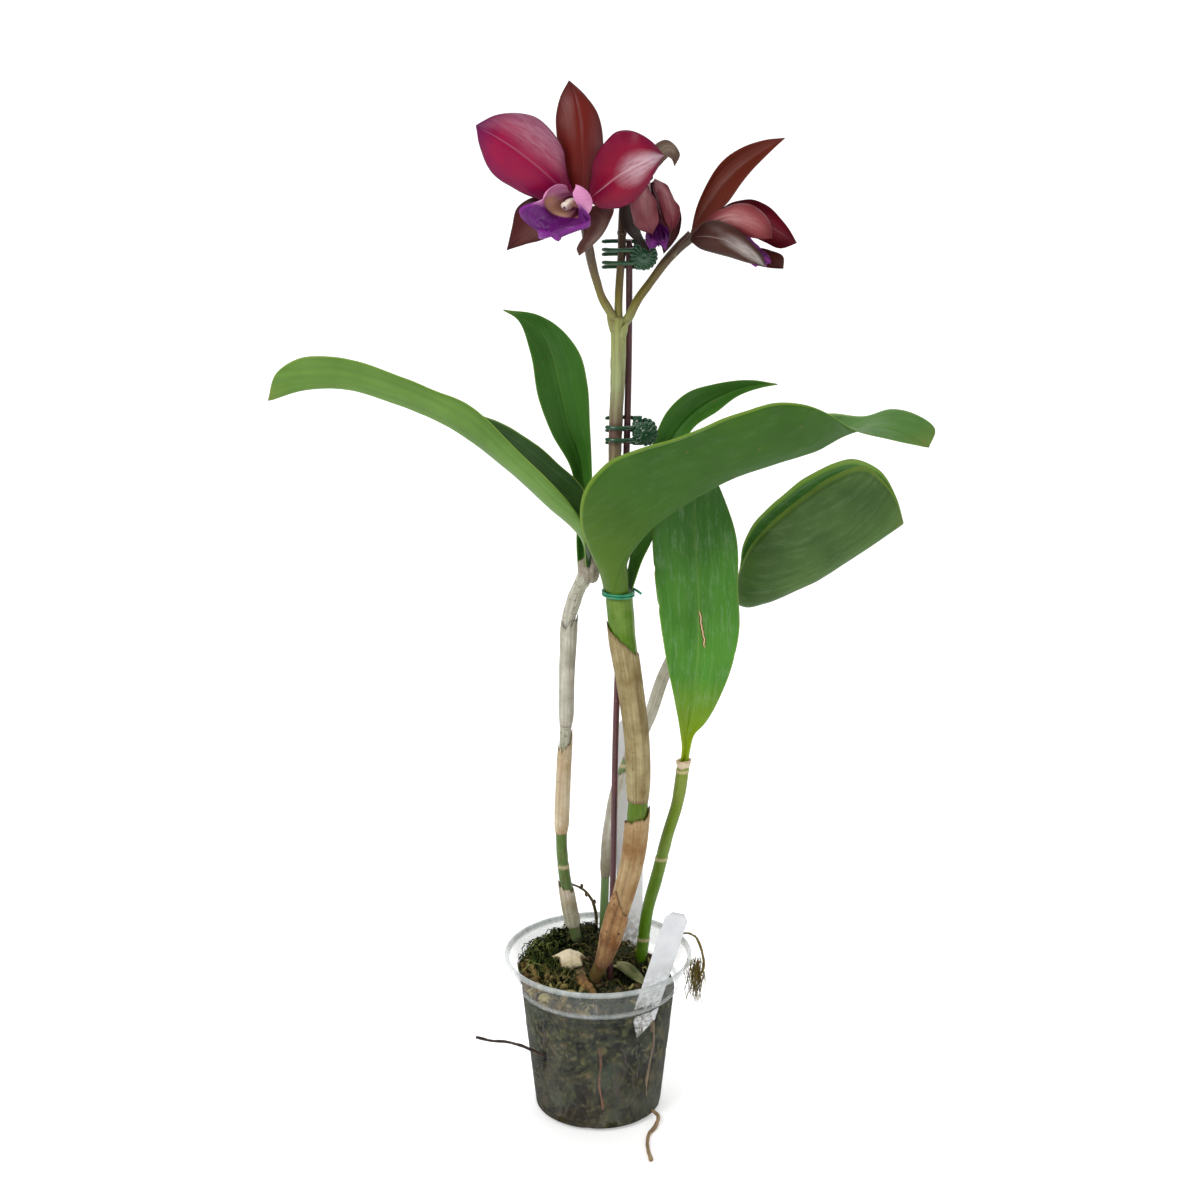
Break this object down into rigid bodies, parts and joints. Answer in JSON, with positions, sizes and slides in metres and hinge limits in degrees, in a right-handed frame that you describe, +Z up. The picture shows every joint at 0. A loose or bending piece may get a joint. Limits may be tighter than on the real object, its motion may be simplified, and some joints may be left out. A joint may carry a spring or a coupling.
{
  "type": "potted_orchid",
  "caption": "Potted cattleya orchid in flower: four sheathed canes, strap leaves and dark red blooms on a stake with claw clips, in a clear nursery pot.",
  "frame": {"origin": "Centre of the pot's flat underside, on the surface that the pot stands on.", "axes": "+Z points up along the pot's axis towards the blooms. -Y is the side that the blooms and the front label face. +X points to the right, seen from that side."},
  "size_m": [0.3255, 0.123, 0.5413],
  "materials": {
    "leaf_green": "satin",
    "cane_green": "satin",
    "sheath_tan": "matte",
    "sheath_white": "matte",
    "sepal_maroon": "satin",
    "petal_crimson": "satin",
    "lip_violet": "matte",
    "column_cream": "matte",
    "stalk_olive": "satin",
    "clear_plastic": "gloss",
    "bark_moss": "matte",
    "root_brown": "matte",
    "label_white": "matte",
    "stake_maroon": "satin",
    "clip_green": "gloss",
    "pin_steel": "satin",
    "tie_green": "gloss"
  },
  "bodies": {
    "plant_and_pot": {"bloom_1_column": "column_cream", "bloom_1_dorsal_sepal": "sepal_maroon", "bloom_1_left_petal": "petal_crimson", "bloom_1_left_sepal": "sepal_maroon", "bloom_1_lip": "lip_violet", "bloom_1_right_petal": "petal_crimson", "bloom_1_right_sepal": "sepal_maroon", "bloom_2_column": "column_cream", "bloom_2_dorsal_sepal": "sepal_maroon", "bloom_2_left_petal": "petal_crimson", "bloom_2_left_sepal": "sepal_maroon", "bloom_2_lip": "lip_violet", "bloom_2_right_petal": "petal_crimson", "bloom_2_right_sepal": "sepal_maroon", "bloom_3_column": "column_cream", "bloom_3_dorsal_sepal": "sepal_maroon", "bloom_3_far_petal": "petal_crimson", "bloom_3_far_sepal": "sepal_maroon", "bloom_3_lip": "lip_violet", "bloom_3_near_petal": "petal_crimson", "bloom_3_near_sepal": "sepal_maroon", "cane_back": "cane_green", "cane_front": "cane_green", "cane_left": "cane_green", "cane_right": "cane_green", "clear_pot": "clear_plastic", "dead_twig": "root_brown", "dry_bract": "sheath_tan", "flower_stem": "stalk_olive", "growing_mix": "bark_moss", "leaf_centre_right": "leaf_green", "leaf_far_right": "leaf_green", "leaf_front": "leaf_green", "leaf_long_left": "leaf_green", "leaf_rear": "leaf_green", "leaf_upright": "leaf_green", "lower_clip_pin": "pin_steel", "lower_clip_rear_jaw": "clip_green", "papery_scrap": "sheath_white", "plant_label": "label_white", "rear_plant_label": "label_white", "rhizome": "root_brown", "rim_moss": "root_brown", "sheath_back_low": "sheath_white", "sheath_back_top": "sheath_white", "sheath_front_low": "sheath_tan", "sheath_front_middle": "sheath_tan", "sheath_front_top": "sheath_tan", "sheath_left_low": "sheath_white", "sheath_left_middle": "sheath_tan", "sheath_left_top": "sheath_white", "side_root": "root_brown", "stake": "stake_maroon", "table_root": "root_brown", "twist_tie": "tie_green", "upper_clip_pin": "pin_steel", "upper_clip_rear_jaw": "clip_green"},
    "lower_clip_jaw": {"lower_clip_front_jaw": "clip_green"},
    "upper_clip_jaw": {"upper_clip_front_jaw": "clip_green"}
  },
  "joints": [
    {"name": "lower_clip_hinge", "type": "hinge", "parent": "plant_and_pot", "child": "lower_clip_jaw", "pos_m": [0.0192, 0.0024, 0.371], "axis": [0, 0, 1], "range_deg": [0, 20], "stiffness_Nm_per_rad": 0.004, "springref_deg": -17.19},
    {"name": "upper_clip_hinge", "type": "hinge", "parent": "plant_and_pot", "child": "upper_clip_jaw", "pos_m": [0.0203, 0.006, 0.4578], "axis": [0, 0, 1], "range_deg": [0, 20], "stiffness_Nm_per_rad": 0.004, "springref_deg": -17.19}
  ]
}
